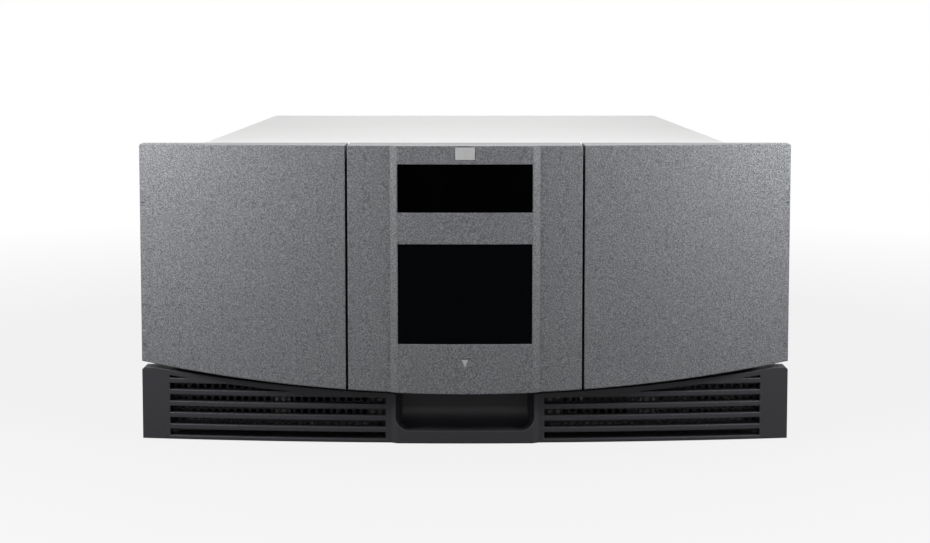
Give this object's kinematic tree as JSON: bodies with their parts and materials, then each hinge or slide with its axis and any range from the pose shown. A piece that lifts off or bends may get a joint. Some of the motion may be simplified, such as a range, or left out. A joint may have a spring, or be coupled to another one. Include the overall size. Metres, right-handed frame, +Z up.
{
  "type": "data tape library",
  "caption": "Rack-mount tape library with bowed two-door front, centre window and touch screen, sliding cartridge magazines, picking robot and rear drives",
  "frame": {"origin": "centre of the base's underside, midway along the chassis", "axes": "+Z up, the front faces -Y, +X to the right when looking at the front from -Y"},
  "size_m": [0.4826, 0.8255, 0.2215],
  "materials": {
    "galvanised": "zinc-plated sheet steel",
    "cover_steel": "light grey satin",
    "unit_steel": "zinc-plated",
    "ear_paint": "black satin",
    "bezel_grey": "charcoal grey with a metallic speckle",
    "base_grey": "dark charcoal, finely textured",
    "screen_mesh": "black",
    "window_smoke": "smoked",
    "touch_glass": "dark, semi-gloss",
    "display_plastic": "matt",
    "badge_silver": "satin",
    "mark_grey": "light grey",
    "hardware_steel": "bright",
    "solenoid_metal": "black",
    "guide_plastic": "natural acetal",
    "ground_steel": "ground shafts",
    "belt_rubber": "toothed belt",
    "motor_metal": "black and bright ends",
    "board_green": "solder mask",
    "magazine_plastic": "dark grey moulded",
    "cartridge_shell": "dark blue-grey moulded",
    "robot_aluminium": "machined",
    "picker_plastic": "grey moulded",
    "pulley_metal": "anodised",
    "drive_metal": "grey",
    "fan_plastic": "black",
    "switch_plastic": "black"
  },
  "bodies": {
    "chassis": {"chassis_tray": "galvanised", "top_cover": "cover_steel", "rear_panel": "galvanised", "front_frame": "galvanised", "left_rack_ear": "ear_paint", "right_rack_ear": "ear_paint", "center_bezel": "bezel_grey", "lower_bezel": "base_grey", "intake_screens": "screen_mesh", "window_pane": "window_smoke", "touch_screen": "touch_glass", "display_module": "display_plastic", "badge_plate": "badge_silver", "status_mark": "mark_grey", "hinge_brackets": "hardware_steel", "lock_solenoids": "solenoid_metal", "magazine_decks": "galvanised", "magazine_guides": "guide_plastic", "robot_rails": "ground_steel", "rail_blocks": "hardware_steel", "drive_belt": "belt_rubber", "belt_motor": "motor_metal", "drive_cage": "galvanised", "supply_cage": "galvanised", "card_cage": "galvanised", "controller_card": "board_green", "slot_covers": "unit_steel", "supply_backplane": "board_green", "case_screws": "hardware_steel"},
    "left_door": {"left_door": "bezel_grey"},
    "right_door": {"right_door": "bezel_grey"},
    "left_magazine": {"left_magazine": "magazine_plastic", "left_cartridges": "cartridge_shell"},
    "right_magazine": {"right_magazine": "magazine_plastic", "right_cartridges": "cartridge_shell"},
    "shuttle": {"shuttle_base": "robot_aluminium", "lift_mast": "ground_steel", "lift_motor": "motor_metal"},
    "lift_screw": {"lift_screw": "ground_steel"},
    "lift": {"lift_carriage": "robot_aluminium", "turn_motor": "motor_metal"},
    "picker": {"picker_tray": "picker_plastic", "barcode_reader": "display_plastic"},
    "gripper": {"gripper": "picker_plastic"},
    "belt_pulley": {"belt_pulley": "pulley_metal"},
    "idler_pulley": {"idler_pulley": "pulley_metal"},
    "lower_drive": {"lower_drive_tray": "unit_steel", "lower_tape_drive": "drive_metal"},
    "upper_drive": {"upper_drive_tray": "unit_steel", "upper_tape_drive": "drive_metal"},
    "lower_drive_fan": {"lower_drive_fan": "fan_plastic"},
    "upper_drive_fan": {"upper_drive_fan": "fan_plastic"},
    "lower_supply": {"lower_power_supply": "unit_steel"},
    "upper_supply": {"upper_power_supply": "unit_steel"},
    "lower_supply_fan": {"lower_supply_fan": "fan_plastic"},
    "upper_supply_fan": {"upper_supply_fan": "fan_plastic"},
    "power_switch": {"power_switch": "switch_plastic"},
    "left_lock_pin": {"left_lock_pin": "hardware_steel"},
    "right_lock_pin": {"right_lock_pin": "hardware_steel"}
  },
  "joints": [
    {"name": "left_door_hinge", "type": "hinge", "parent": "chassis", "child": "left_door", "pos_m": [-0.233, -0.381, 0.13], "axis": [0, 0, -1], "range_deg": [0, 110]},
    {"name": "right_door_hinge", "type": "hinge", "parent": "chassis", "child": "right_door", "pos_m": [0.233, -0.381, 0.13], "axis": [0, 0, 1], "range_deg": [0, 110]},
    {"name": "left_magazine_slide", "type": "slide", "parent": "chassis", "child": "left_magazine", "axis": [0, -1, 0], "range_m": [0, 0.0768]},
    {"name": "right_magazine_slide", "type": "slide", "parent": "chassis", "child": "right_magazine", "axis": [0, -1, 0], "range_m": [0, 0.0768]},
    {"name": "shuttle_slide", "type": "slide", "parent": "chassis", "child": "shuttle", "axis": [0, 1, 0], "range_m": [0, 0.2239]},
    {"name": "lift_slide", "type": "slide", "parent": "shuttle", "child": "lift", "axis": [0, 0, 1], "range_m": [0, 0.104]},
    {"name": "lift_screw_turn", "type": "hinge", "parent": "shuttle", "child": "lift_screw", "pos_m": [0, -0.3575, 0.1], "axis": [0, 0, 1], "continuous": true},
    {"name": "picker_turn", "type": "hinge", "parent": "lift", "child": "picker", "pos_m": [0, -0.2515, 0.06], "axis": [0, 0, 1], "range_deg": [-90, 90]},
    {"name": "gripper_reach", "type": "slide", "parent": "picker", "child": "gripper", "axis": [0, 1, 0], "range_m": [0, 0.116]},
    {"name": "belt_pulley_spin", "type": "hinge", "parent": "chassis", "child": "belt_pulley", "pos_m": [0.0855, -0.35, 0.022], "axis": [1, 0, 0], "continuous": true},
    {"name": "idler_pulley_spin", "type": "hinge", "parent": "chassis", "child": "idler_pulley", "pos_m": [0.0855, 0.0465, 0.022], "axis": [1, 0, 0], "continuous": true},
    {"name": "lower_drive_slide", "type": "slide", "parent": "chassis", "child": "lower_drive", "axis": [0, 1, 0], "range_m": [0, 0.31]},
    {"name": "upper_drive_slide", "type": "slide", "parent": "chassis", "child": "upper_drive", "axis": [0, 1, 0], "range_m": [0, 0.31]},
    {"name": "lower_supply_slide", "type": "slide", "parent": "chassis", "child": "lower_supply", "axis": [0, 1, 0], "range_m": [0, 0.23]},
    {"name": "upper_supply_slide", "type": "slide", "parent": "chassis", "child": "upper_supply", "axis": [0, 1, 0], "range_m": [0, 0.23]},
    {"name": "lower_drive_fan_spin", "type": "hinge", "parent": "lower_drive", "child": "lower_drive_fan", "pos_m": [-0.034, 0.3622, 0.055], "axis": [0, 1, 0], "continuous": true},
    {"name": "upper_drive_fan_spin", "type": "hinge", "parent": "upper_drive", "child": "upper_drive_fan", "pos_m": [-0.034, 0.3622, 0.147], "axis": [0, 1, 0], "continuous": true},
    {"name": "lower_supply_fan_spin", "type": "hinge", "parent": "lower_supply", "child": "lower_supply_fan", "pos_m": [-0.1798, 0.3622, 0.055], "axis": [0, 1, 0], "continuous": true},
    {"name": "upper_supply_fan_spin", "type": "hinge", "parent": "upper_supply", "child": "upper_supply_fan", "pos_m": [-0.1798, 0.3622, 0.147], "axis": [0, 1, 0], "continuous": true},
    {"name": "power_switch_rock", "type": "hinge", "parent": "chassis", "child": "power_switch", "pos_m": [-0.0904, 0.363, 0.15], "axis": [1, 0, 0], "range_deg": [0, 12]},
    {"name": "left_lock_slide", "type": "slide", "parent": "chassis", "child": "left_lock_pin", "axis": [-1, 0, 0], "range_m": [0, 0.006]},
    {"name": "right_lock_slide", "type": "slide", "parent": "chassis", "child": "right_lock_pin", "axis": [1, 0, 0], "range_m": [0, 0.006]}
  ],
  "couplings": [
    {"joint": "left_magazine_slide", "follows": "left_door_hinge", "m_per_rad": 0.04},
    {"joint": "right_magazine_slide", "follows": "right_door_hinge", "m_per_rad": 0.04},
    {"joint": "lift_screw_turn", "follows": "lift_slide", "rad_per_m": 314.16},
    {"joint": "belt_pulley_spin", "follows": "shuttle_slide", "rad_per_m": -99.502},
    {"joint": "idler_pulley_spin", "follows": "shuttle_slide", "rad_per_m": -99.502}
  ]
}
